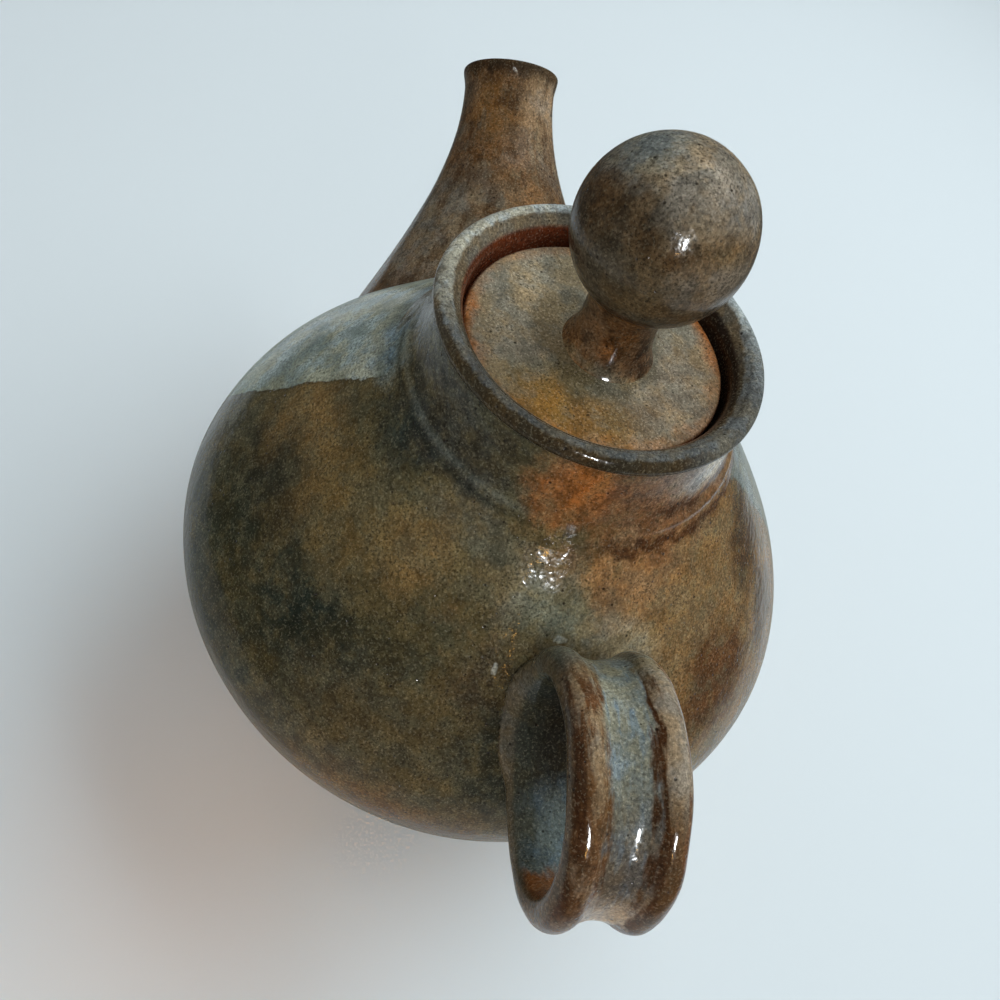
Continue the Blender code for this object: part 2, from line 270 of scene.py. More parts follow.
class Mixer:
    """Lays shader nodes into one tree and joins them."""

    def __init__(self, tree: Tree) -> None:
        """Starts on an empty tree."""
        self.tree = tree
        self.count = 0

    def node(self, kind: str, **settings: object) -> bpy.types.Node:
        """Adds a node and sets its own settings."""
        node = self.tree.nodes.new(kind)
        for name, value in settings.items():
            setattr(node, name, value)
        node.location = (200 * (self.count % 12), -240 * (self.count // 12))
        self.count += 1
        return node

    def feed(self, socket: Socket, value: Feed) -> None:
        """Links a socket to another node's output, or gives it a fixed value.

        Args:
            socket: The input to feed.
            value: An output, or a value. A colour of three numbers is one as seen on a screen.
        """
        if isinstance(value, Socket):
            self.tree.links.new(value, socket)
        elif socket.type == "RGBA" and len(value) == 3:
            socket.default_value = linear_colour(value)
        else:
            socket.default_value = value

    def math(self, operation: str, first: Feed, second: Feed = 0.0) -> Socket:
        """Does one sum on two numbers."""
        node = self.node("ShaderNodeMath", operation=operation)
        self.feed(node.inputs[0], first)
        self.feed(node.inputs[1], second)
        return node.outputs[0]

    def add(self, first: Feed, second: Feed) -> Socket:
        """Adds two numbers."""
        return self.math("ADD", first, second)

    def less(self, first: Feed, second: Feed) -> Socket:
        """Takes the second number from the first."""
        return self.math("SUBTRACT", first, second)

    def vector(self, operation: str, first: Feed, second: Feed = (0, 0, 0)) -> Socket:
        """Does one sum on two vectors, and gives the number for LENGTH and DISTANCE."""
        node = self.node("ShaderNodeVectorMath", operation=operation)
        self.feed(node.inputs[0], first)
        self.feed(node.inputs[1], second)
        return node.outputs["Value" if operation in ("LENGTH", "DISTANCE", "DOT_PRODUCT") else "Vector"]

    def scaled(self, vector: Feed, scale: Feed) -> Socket:
        """Makes a vector longer or shorter."""
        node = self.node("ShaderNodeVectorMath", operation="SCALE")
        self.feed(node.inputs[0], vector)
        self.feed(node.inputs["Scale"], scale)
        return node.outputs[0]

    def spread(self, value: Feed, low: Feed, high: Feed, start: float = 0, end: float = 1) -> Socket:
        """Maps a value softly from one range to another, held at both ends."""
        node = self.node("ShaderNodeMapRange", interpolation_type="SMOOTHSTEP")
        for socket, number in zip(node.inputs, (value, low, high, start, end)):
            self.feed(socket, number)
        return node.outputs[0]

    def noise(self, point: Feed, scale: Feed, detail: float = 2, rough: float = 0.5) -> Sequence[Socket]:
        """Adds a noise texture, and gives its value first and its colour second."""
        node = self.node("ShaderNodeTexNoise")
        for name, value in (("Vector", point), ("Scale", scale), ("Detail", detail), ("Roughness", rough)):
            self.feed(node.inputs[name], value)
        return node.outputs[0], node.outputs[1]

    def blend(self, mask: Feed, under: Feed, over: Feed) -> Socket:
        """Lays one colour over another where a mask says so."""
        node = self.node("ShaderNodeMix", data_type="RGBA")
        for index, value in ((0, mask), (6, under), (7, over)):
            self.feed(node.inputs[index], value)
        return node.outputs[2]

    def band(self, value: Feed, middle: float, half: float, soft: float) -> Socket:
        """Gives 1 where a value lies within a half width of the middle, fading softly to 0."""
        away = self.math("ABSOLUTE", self.less(value, middle))
        return self.spread(away, half - soft, half + soft, 1, 0)

    def both(self, *masks: Feed) -> Socket:
        """Multiplies masks together."""
        result = masks[0]
        for mask in masks[1:]:
            result = self.math("MULTIPLY", result, mask)
        return result

    def dots(self, point: Feed, scale: Feed, radius: float) -> Socket:
        """Scatters round dots of random size, as 1 on a dot and 0 between them.

        Args:
            point: The place.
            scale: How many cells lie along one metre.
            radius: The largest dot's radius as a share of a cell.

        Returns:
            The mask.
        """
        cells = self.node("ShaderNodeTexVoronoi", voronoi_dimensions="3D", feature="F1")
        self.feed(cells.inputs["Vector"], point)
        self.feed(cells.inputs["Scale"], scale)
        size = self.both(self.axes(cells.outputs["Color"])[0], radius)
        return self.spread(self.less(cells.outputs["Distance"], size), -0.07, 0.05, 1, 0)

    def frame(self, point: Feed, place: Triple, turn: Triple) -> Socket:
        """Gives a point as seen from a piece's own centre and turn."""
        node = self.node("ShaderNodeMapping", vector_type="TEXTURE")
        for name, value in (("Vector", point), ("Location", place), ("Rotation", turn)):
            self.feed(node.inputs[name], value)
        return node.outputs[0]

    def axes(self, vector: Feed) -> Sequence[Socket]:
        """Splits a vector into its three numbers."""
        node = self.node("ShaderNodeSeparateXYZ")
        self.feed(node.inputs[0], vector)
        return node.outputs

    def use(self, group: Tree, **inputs: Feed) -> bpy.types.Node:
        """Places a shared group, with its inputs by name (underscores for spaces)."""
        node = self.node("ShaderNodeGroup")
        node.node_tree = group
        for name, value in inputs.items():
            self.feed(node.inputs[name.replace("_", " ")], value)
        return node


def new_group(name: str, inputs: dict[str, str], outputs: dict[str, str]) -> tuple[Mixer, Sequence, Sequence]:
    """Starts a shared shader group.

    Args:
        name: The group's name.
        inputs: Each input's name and socket kind, such as Float.
        outputs: Each output's name and socket kind.

    Returns:
        Its mixer, the sockets that bring the inputs in, and those that take the outputs out.
    """
    tree = bpy.data.node_groups.new(name, "ShaderNodeTree")
    for label, kind in inputs.items():
        tree.interface.new_socket(label, in_out="INPUT", socket_type=f"NodeSocket{kind}")
    for label, kind in outputs.items():
        tree.interface.new_socket(label, in_out="OUTPUT", socket_type=f"NodeSocket{kind}")
    mixer = Mixer(tree)
    entry = mixer.node("NodeGroupInput")
    leave = mixer.node("NodeGroupOutput")
    return mixer, entry.outputs, leave.inputs


class Kiln:
    """The shader groups that all the glazes share."""

    def __init__(self) -> None:
        """Builds each group once."""
        self.colour_patch = self.make_colour_patch()
        self.wander = self.make_wander()
        self.speckle = self.make_speckle()
        self.relief = self.make_relief()

    @staticmethod
    def make_colour_patch() -> Tree:
        """Makes the mask of one patch of colour: a soft-edged egg round a place."""
        inputs = {"Point": "Vector", "Centre": "Vector", "Reach": "Vector", "Edge": "Float", "Break": "Float"}
        mixer, entry, leave = new_group("glaze_colour_patch", inputs, {"Mask": "Float"})
        away = mixer.vector("SUBTRACT", entry["Point"], entry["Centre"])
        share = mixer.vector("LENGTH", mixer.vector("DIVIDE", away, entry["Reach"]))
        share = mixer.add(share, entry["Break"])
        inner, outer = mixer.less(1.0, entry["Edge"]), mixer.add(1.0, entry["Edge"])
        mixer.feed(leave["Mask"], mixer.spread(share, inner, outer, 1, 0))
        return mixer.tree

    @staticmethod
    def make_wander() -> Tree:
        """Makes a point that strays, so that the edges of colour patches fray as run glaze does."""
        inputs = {"Point": "Vector", "Drift": "Float", "Fray": "Float"}
        mixer, entry, leave = new_group("glaze_wander", inputs, {"Point": "Vector", "Break": "Float"})
        point = entry["Point"]
        wide = mixer.noise(point, 50, 3, 0.55)[1]
        fine = mixer.noise(point, 560, 2, 0.7)[1]
        ragged = mixer.noise(point, 170, 4, 0.65)[0]
        mixer.feed(leave["Break"], mixer.both(mixer.less(ragged, 0.5), 1.5))
        for noise, amount in ((wide, entry["Drift"]), (fine, entry["Fray"])):
            stray = mixer.scaled(mixer.vector("SUBTRACT", noise, (0.5, 0.5, 0.5)), amount)
            point = mixer.vector("ADD", point, stray)
        mixer.feed(leave["Point"], point)
        return mixer.tree

    @staticmethod
    def make_speckle() -> Tree:
        """Makes the fired grain: clouds, dark and pale specks, and small pits."""
        inputs = {
            "Point": "Vector", "Colour": "Color", "Dark": "Color", "Pale": "Color",
            "Dark Share": "Float", "Pale Share": "Float", "Contrast": "Float", "Grain": "Float",
        }
        outputs = {"Colour": "Color", "Grain": "Float", "Pits": "Float"}
        mixer, entry, leave = new_group("glaze_speckle", inputs, outputs)
        point = entry["Point"]
        cloud, cloud_tint = mixer.noise(point, 150, 4, 0.65)
        scale = entry["Grain"]
        grain = mixer.noise(point, scale, 3, 0.75)[0]
        low, high = mixer.less(1.0, entry["Contrast"]), mixer.add(1.0, entry["Contrast"])
        value = mixer.node("ShaderNodeMapRange")
        for socket, number in zip(value.inputs, (grain, 0.3, 0.7, low, high)):
            mixer.feed(socket, number)
        tone = mixer.both(value.outputs[0], mixer.spread(cloud, 0.3, 0.7, 0.78, 1.22))
        warm = mixer.spread(mixer.axes(cloud_tint)[1], 0.4, 0.6)
        colour = mixer.vector("MULTIPLY", entry["Colour"], mixer.blend(warm, COOL, WARM))
        colour = mixer.scaled(colour, tone)
        crowd = mixer.spread(cloud, 0.36, 0.64, 0.5, 1.0)
        moved = mixer.vector("ADD", point, (0.31, 0.17, 0.53))
        specks = mixer.axes(mixer.noise(moved, mixer.both(scale, 1.35), 2, 0.6)[1])
        dark = mixer.both(mixer.spread(specks[0], 0.53, 0.62), crowd, entry["Dark Share"])
        colour = mixer.blend(dark, colour, mixer.blend(0.4, mixer.scaled(colour, 0.3), entry["Dark"]))
        pale = mixer.both(mixer.spread(specks[1], 0.55, 0.66), entry["Pale Share"])
        colour = mixer.blend(pale, colour, mixer.blend(0.3, mixer.scaled(colour, 1.8), entry["Pale"]))
        pits = mixer.dots(point, PIT_CELLS, PIT_RADIUS)
        colour = mixer.blend(mixer.both(pits, 0.8), colour, (30, 22, 16))
        for name, value in (("Colour", colour), ("Grain", grain), ("Pits", pits)):
            mixer.feed(leave[name], value)
        return mixer.tree

    @staticmethod
    def make_relief() -> Tree:
        """Makes the surface's height in metres: orange peel, soft waves and pits."""
        inputs = {"Point": "Vector", "Pits": "Float", "Peel": "Float", "Wave": "Float"}
        mixer, entry, leave = new_group("glaze_relief", inputs, {"Height": "Float"})
        peel = mixer.both(mixer.noise(entry["Point"], 520, 2, 0.5)[0], entry["Peel"])
        wave = mixer.both(mixer.noise(entry["Point"], 95, 1, 0.4)[0], entry["Wave"])
        pits = mixer.both(entry["Pits"], PIT_DEPTH)
        mixer.feed(leave["Height"], mixer.less(mixer.add(peel, wave), pits))
        return mixer.tree


class Coat:
    """A glaze's colour while its marks are laid, with places and widths in millimetres."""

    def __init__(self, mixer: Mixer, point: Socket, colour: Socket) -> None:
        """Starts on the glaze below the marks.

        Args:
            mixer: The material's mixer.
            point: The place on the piece, in metres.
            colour: The glaze below.
        """
        self.mixer = mixer
        self.colour = colour
        self.look(point)

    def look(self, point: Socket) -> None:
        """Measures the marks from a point, which may be in a piece's own frame."""
        self.point = point
        place = self.mixer.scaled(point, 1 / MM)
        self.x, self.y, self.z = self.mixer.axes(place)
        self.out = self.mixer.vector("LENGTH", self.mixer.vector("MULTIPLY", place, (1, 1, 0)))

    def lay(self, colour: Feed, *masks: Feed) -> None:
        """Lays a colour where all the masks say so."""
        self.colour = self.mixer.blend(self.mixer.both(*masks), self.colour, colour)

    def stray(self, scale: float, detail: float, rough: float, reach: float, low: float = 0.25) -> Socket:
        """Gives a soft wander to both sides, for an edge that isn't straight.

        Args:
            scale: The noise's scale for one metre.
            detail: Its detail.
            rough: Its roughness.
            reach: The farthest wander.
            low: The noise value at which that is reached.

        Returns:
            The wander.
        """
        noise = self.mixer.noise(self.point, scale, detail, rough)[0]
        return self.mixer.spread(noise, low, 1 - low, -reach, reach)

    def pour(self) -> None:
        """Lays the pale second glaze over the spout side of the shoulder."""
        m, x, y, z = self.mixer, self.x, self.y, self.z
        stray = m.add(self.stray(60, 2, 0.5, 0.9, 0.2), self.stray(700, 2, 0.6, 0.35, 0.2))
        left = m.less(m.add(m.add(x, m.both(z, 0.59)), stray), 59)
        right = m.add(m.add(x, 14), m.both(stray, 2.5))
        right = m.add(right, m.both(m.less(z, 88), 0.22))
        side = m.math("GREATER_THAN", y, 0.0)
        edge = m.add(m.both(side, left), m.both(m.less(1.0, side), right))
        drips = m.noise(m.vector("MULTIPLY", self.point, (1, 1, 0.12)), 85, 2, 0.5)[0]
        edge = m.math("MINIMUM", edge, m.less(z, m.spread(drips, 0.3, 0.7, 56, 38)))
        self.lay((50, 46, 34), m.spread(edge, -1.0, -0.2), 0.4)
        tone = m.noise(self.point, 75, 3, 0.6)[0]
        ash = m.blend(m.spread(tone, 0.35, 0.65), (142, 150, 138), (172, 179, 170))
        ash = m.blend(m.spread(z, 60, 74, 0.7, 0), ash, (108, 124, 94))
        ash = m.blend(m.spread(self.out, 34, 40, 0.85, 0), ash, (106, 120, 124))
        ash = m.blend(m.spread(y, -30, -10, 0.8, 0), ash, (100, 102, 92))
        self.lay(ash, m.spread(edge, -0.2, 0.25), 0.9)

    def crease(self) -> None:
        """Draws the dark glaze that ran together on both sides of the finger ridge, and on the +Y side paints
        shade as a dark line in the crease and a highlight as a pale line along the collar's foot.
        """
        m, y, z = self.mixer, self.y, self.z
        level = m.add(z, self.stray(260, 3, 0.6, 1.2))
        behind = m.spread(self.x, -4, 8, 1, 0)
        upper = m.both(m.band(level, 104.6, 0.8, 0.7), m.spread(y, -12, -4, 0.8, 0), behind)
        lower = m.both(m.band(level, 99.2, 0.9, 0.8), m.spread(y, -4, 6, 0.85, 0), behind)
        left = m.spread(y, 8, 20)
        # Painted light on the +Y side: a dark line of painted shade in the crease, then a pale line of
        # painted highlight on the collar's foot roll.
        self.lay((48, 50, 42), m.band(z, 100.9, 0.5, 0.5), left, 0.6)
        self.lay((118, 118, 104), m.band(z, 102.6, 0.6, 0.6), left, 0.4)
        self.lay((66, 38, 20), m.math("MAXIMUM", upper, lower))

    def pot(self) -> None:
        """Adds the pour, the crease and the bare base, as on a pot that stood on its kiln shelf."""
        self.pour()
        self.crease()
        level = self.mixer.add(self.z, self.stray(130, 2, 0.5, 0.6, 0.3))
        self.lay((128, 104, 82), self.mixer.spread(level, 0.9, 1.3, 1, 0))

    def collar(self) -> None:
        """Turns the rim slate and pale, paler on the far side and carried over the roll on the -Y side as
        painted reflection, darkens the line under the roll with painted shade over its brown glaze, and turns
        the inside red-brown.
        """
        self.crease()
        m, y = self.mixer, self.y
        fine = m.noise(self.point, 420, 3, 0.65)[0]
        stray = m.spread(fine, 0.3, 0.7, -0.5, 0.5)
        far = m.spread(self.x, -14, 12)
        # Painted shade under the rolled rim over its brown glaze, deepest on the near side and lighter on the
        # far side.
        under = m.both(m.spread(m.add(self.z, stray), 115.0, 116.0), m.spread(far, 0, 1, 0.92, 0.7))
        self.lay(m.blend(far, (62, 51, 36), (112, 100, 86)), under)
        # The slate crest turns pale toward the far side: slate glaze with a painted reflection of the pale
        # surroundings.
        slate_and_sheen = m.blend(far, (95, 94, 89), (174, 176, 168))
        slate_and_sheen = m.blend(m.spread(fine, 0.5, 0.62, 0, 0.5), slate_and_sheen, (84, 76, 64))
        stray = m.both(stray, 0.6)
        ring = m.less(m.add(self.out, stray), m.both(far, 1.4))
        # On the -Y side the slate crest is carried further over the roll as a painted reflection.
        right_rim_sheen = m.both(m.spread(ring, 26.4, 27.0), m.spread(y, -16, -6, 1, 0))
        crest = m.math("MAXIMUM", m.band(ring, 28.1, 1.45, 0.35), right_rim_sheen)
        self.lay(slate_and_sheen, crest, m.spread(m.add(self.z, stray), 116.9, 117.5), 0.9)
        clay = m.blend(m.spread(y, -22, -8, 1, 0), (92, 44, 24), (40, 28, 20))
        self.lay(clay, m.spread(self.out, 25.7, 26.4, 1, 0))

    def ring(self, centre: Triple, turn: Triple) -> None:
        """Pools the handle's glaze in the groove and breaks it to brown on the beads; the pool is paler
        toward the shoulder as a painted reflection, and the bore is darkened toward the shoulder as painted
        shade.

        Args:
            centre: The ring's centre.
            turn: The ring's turn.
        """
        m = self.mixer
        self.look(m.frame(self.point, centre, turn))
        right, high, along = self.x, self.y, self.z
        rolled = m.node("ShaderNodeCombineXYZ")
        round_about = m.both(m.math("ARCTAN2", high, right), 6)
        for socket, value in zip(rolled.inputs, (m.both(along, 1.3), round_about, self.out)):
            m.feed(socket, value)
        streaks, tint = m.noise(rolled.outputs[0], 430 * MM, 3, 0.6)
        stray = m.spread(streaks, 0.25, 0.75, -1.1, 1.1)
        across = m.add(along, stray)
        top = m.spread(right, -17, -2)
        drips = m.spread(streaks, 0.42, 0.6)
        self.lay(m.blend(top, (112, 88, 66), (130, 112, 90)), m.band(across, -5.4, 2.0, 0.9), drips, 0.85)
        bead = m.blend(top, (88, 68, 44), (147, 130, 109))
        self.lay(bead, m.band(across, 6.9, 1.9, 0.7), m.spread(top, 0, 1, 0.35, 0.95))
        # The pool is paler and bluer toward the shoulder: glaze pool with a painted reflection of the pale
        # surroundings.
        pool_and_sheen = m.blend(top, (90, 80, 70), (122, 124, 114))
        pool_and_sheen = m.blend(m.spread(right, -21, -17, 0.9, 0), pool_and_sheen, (176, 148, 120))
        blue = m.both(m.spread(m.axes(tint)[1], 0.48, 0.62), m.spread(right, -9, 4, 0.25, 0.8))
        pool_and_sheen = m.blend(blue, pool_and_sheen, (108, 124, 134))
        self.lay(pool_and_sheen, m.band(across, 0.0, 3.5, 0.8), 0.95)
        self.lay((60, 36, 20), m.band(across, 4.2, 0.6, 0.5), m.spread(right, -20, -15, 0.2, 0.8))
        self.lay((58, 35, 20), m.band(across, -8.7, 0.6, 0.5), 0.8)
        self.colour = m.scaled(self.colour, m.spread(right, -20, -8, 1.25, 1.0))
        self.lay((92, 94, 80), m.spread(m.less(right, high), -14, 4), 0.75)
        self.lay((104, 66, 42), m.band(across, 9.0, 0.9, 0.6), drips, 0.7)
        self.lay((96, 84, 68), m.spread(along, -8.9, -8.2, 1, 0), m.spread(self.out, 20, 21, 1, 0), 0.6)
        low = m.add(right, stray)
        bore = m.blend(m.spread(low, -12.4, -9.6), (120, 74, 40), (100, 112, 116))
        # Painted shade: the bore darkens toward the shoulder, most at its +Y end.
        bore = m.blend(m.spread(low, -3, 8), bore, (52, 47, 38))
        dim = m.both(m.spread(across, -6.8, -2.2, 0.85, 0), m.spread(low, -13, -8))
        bore = m.blend(dim, bore, (54, 54, 44))
        self.lay(bore, m.spread(self.out, 16.4, 17.4, 0.95, 0))

    def runs(self, mouth: Triple, turn: Triple) -> None:
        """Draws dark and pale runs along the spout, and a dark line round its lip.

        Args:
            mouth: The centre of the spout's mouth.
            turn: The spout's turn.
        """
        m = self.mixer
        self.look(m.frame(self.point, mouth, turn))
        runs, tint = m.noise(m.vector("MULTIPLY", self.point, (1, 1, 0.35)), 250, 4, 0.65)
        red, green, _ = m.axes(tint)
        self.lay((66, 46, 28), m.spread(red, 0.5, 0.62, 0, 0.65))
        self.lay((126, 114, 94), m.spread(green, 0.54, 0.68, 0, 0.45))
        stray = m.spread(runs, 0.25, 0.75, -1.0, 1.0)
        self.lay((52, 38, 24), m.spread(m.add(self.z, stray), -4.2, -1.8), 0.8)

    def lid(self) -> None:
        """Breaks the lid's glaze to orange at its edge and pools it round the stem."""
        m = self.mixer
        reach = m.add(self.out, self.stray(150, 4, 0.65, 2.2))
        self.lay((150, 92, 44), m.spread(reach, 21.0, 24.5, 0, 0.4))
        self.lay((84, 40, 20), m.spread(self.out, 24.0, 24.6, 0, 0.8))
        self.lay((86, 78, 58), m.spread(reach, 10.0, 13.5, 0.55, 0))


@dataclass(frozen=True)
class ColourPatch:
    """One patch of colour on a piece: mostly a flash that the fire or a second glaze left, and in a few
    places painted shade and painted reflection.
    """

    colour: Colour
    centre: Triple
    reach: Triple
    strength: float = 1.0
    edge: float = 0.45


def colour_patches(*rows: tuple) -> tuple[ColourPatch, ...]:
    """Reads colour patches from rows of colour, centre and reach in millimetres, strength and edge."""
    return tuple(ColourPatch(*row) for row in rows)


@dataclass(frozen=True)
class Glaze:
    """One glaze: its ground colour, its colour patches, its grain and its gloss."""

    name: str
    ground: Colour
    second: Colour
    colour_patches: tuple[ColourPatch, ...] = ()
    dark: Colour = (38, 34, 26)
    pale: Colour = (140, 134, 112)
    dark_share: float = 0.75
    pale_share: float = 0.75
    contrast: float = 0.46
    grain: float = 1600.0
    roughness: float = 0.11
    peel: float = 0.10
    wave: float = 0.35
    drift: float = 12.0
    fray: float = 2.0
    ior: float = 1.22
    mottle: float = 0.26
    marks: Callable[[Coat], None] | None = None

    def fire(self, kiln: Kiln) -> bpy.types.Material:
        """Builds the glaze's material.

        Args:
            kiln: The shared groups.

        Returns:
            The finished material.
        """
        material = bpy.data.materials.new(self.name)
        material.use_nodes = True
        material.node_tree.nodes.clear()
        mixer = Mixer(material.node_tree)
        point = mixer.node("ShaderNodeTexCoord").outputs["Object"]
        wander = mixer.use(kiln.wander, Point=point, Drift=self.drift * MM, Fray=self.fray * MM)
        stray = wander.outputs["Point"]
        drift = mixer.noise(stray, 48, 2, 0.5)[0]
        colour = mixer.blend(mixer.spread(drift, 0.4, 0.6), self.ground, self.second)
        for colour_patch in self.colour_patches:
            mask = mixer.use(
                kiln.colour_patch,
                Point=stray,
                Centre=tuple(MM * c for c in colour_patch.centre),
                Reach=tuple(MM * r for r in colour_patch.reach),
                Edge=colour_patch.edge,
                Break=wander.outputs["Break"],
            ).outputs[0]
            colour = mixer.blend(mixer.both(mask, colour_patch.strength), colour, colour_patch.colour)
        patches, tint = mixer.noise(point, 330, 4, 0.6)
        colour = mixer.scaled(colour, mixer.spread(patches, 0.32, 0.68, 1 - self.mottle, 1 + self.mottle))
        colour = mixer.blend(mixer.spread(mixer.axes(tint)[0], 0.5, 0.62, 0, 0.45), colour, self.second)
        coat = Coat(mixer, point, colour)
        if self.marks:
            self.marks(coat)
        speckle = mixer.use(
            kiln.speckle,
            Point=point,
            Colour=coat.colour,
            Dark=self.dark,
            Pale=self.pale,
            Dark_Share=self.dark_share,
            Pale_Share=self.pale_share,
            Contrast=self.contrast,
            Grain=self.grain,
        )
        height = mixer.use(
            kiln.relief,
            Point=point,
            Pits=speckle.outputs["Pits"],
            Peel=self.peel * MM,
            Wave=self.wave * MM,
        ).outputs[0]
        bump = mixer.node("ShaderNodeBump")
        for name, value in (("Strength", 1.0), ("Distance", 1.0), ("Height", height)):
            mixer.feed(bump.inputs[name], value)
        rough = mixer.spread(speckle.outputs["Grain"], 0.35, 0.7, self.roughness * 0.8, self.roughness * 1.5)
        facing = mixer.node("ShaderNodeLayerWeight").outputs["Facing"]
        looks = {
            "Base Color": speckle.outputs["Colour"],
            "Roughness": mixer.add(rough, mixer.spread(facing, 0.72, 0.95, 0, 0.2)),
            "IOR": self.ior,
            "Normal": bump.outputs[0],
        }
        shader = mixer.node("ShaderNodeBsdfPrincipled")
        for name, value in looks.items():
            mixer.feed(shader.inputs[name], value)
        output = mixer.node("ShaderNodeOutputMaterial")
        mixer.feed(output.inputs["Surface"], shader.outputs[0])
        return material


def dress(piece: Piece, finish: bpy.types.Material, part: Part, node: str) -> None:
    """Gives a finished piece its glaze and its place in the frame.

    Args:
        piece: The piece.
        finish: Its material.
        part: The body that it rides on.
        node: The CAD node that it stands for.
    """
    piece.data.materials.clear()
    piece.data.materials.append(finish)
    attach(piece, part.value)
    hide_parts(node)
    LOG.info("%s: %d faces, stands for %s", piece.name, len(piece.data.polygons), node)


@dataclass
class Spindle:
    """A line that a round piece is thrown on, for the spout."""

    mouth: Vector
    tilt: float

    def inward(self) -> Vector:
        """Gives the direction from the mouth down into the pot."""
        return Vector((-math.cos(self.tilt), 0, -math.sin(self.tilt)))

    def turn(self) -> Triple:
        """Gives the turn that lays a piece's own -Z along the inward way."""
        return 0.0, math.pi / 2 - self.tilt, 0.0


@dataclass
class Belly:
    """The thrown pot: a flat base, a round belly and a shoulder open at the top."""

    radius: float
    widest: float = 46.9 * MM
    foot: float = 37.6 * MM
    foot_edge: Pair = (39.0 * MM, 1.4 * MM)
    neck: float = 32.9 * MM
    top: float = 100.9 * MM
    wall: float = 5.0 * MM
    floor: float = 6.0 * MM
    hand: Pair = (38 * MM, 0.5 * MM)

    def outside(self, inset: float = 0.0, count: int = 44) -> Outline:
        """Gives the outer skin from the foot's edge to the shoulder's top.

        Args:
            inset: How far the skin is drawn in, for a wall or a cutter.
            count: How many stretches each half of the belly has.

        Returns:
            The outline from below to above.
        """
        radius = self.radius
        lower = ((radius, self.widest), (radius, 26.52 * MM), (56.02 * MM, 12.27 * MM), self.foot_edge)
        upper = ((radius, self.widest), (radius, 62.56 * MM), (50.34 * MM, 79.3 * MM), (self.neck, self.top))
        points = [self.foot_edge] + cubic(lower[::-1], count) + cubic(upper, count)
        if not inset:
            return points
        drawn = []
        for index, point in enumerate(points):
            before = Vector(points[max(index - 1, 0)])
            after = Vector(points[min(index + 1, len(points) - 1)])
            way = (after - before).normalized()
            drawn.append((point[0] - way.y * inset, point[1] + way.x * inset))
        return drawn

    def shell(self) -> Outline:
        """Gives the whole section, from the base's centre round to the floor's centre."""
        outer = [(0.0, 0.0), (self.foot * 0.5, 0.0), (self.foot, 0.0)] + self.outside()
        inner = [point for point in self.outside(self.wall)[::-1] if point[1] > self.floor + 2 * MM]
        inner[0] = (self.neck - self.wall, self.top)
        corner = inner[-1]
        reach = corner[0]
        bend = (corner, (reach * 0.93, self.floor), (reach * 0.8, self.floor), (reach * 0.6, self.floor))
        base = cubic(bend, 10)
        return outer + inner + base + [(0.0, self.floor)]

    def build(self, hole: Piece) -> Piece:
        """Throws the pot and pierces it behind the spout.

        Args:
            hole: The solid that opens the wall for the strainer.

        Returns:
            The pot.
        """
        pot = Bench.turn("pot_body", self.shell())
        Bench.wobble(pot, *self.hand)
        Bench.press(pot, lambda point: Vector((point.x, point.y, max(0, point.z))))
        Bench.cut(pot, hole)
        Bench.smooth(pot)
        return pot


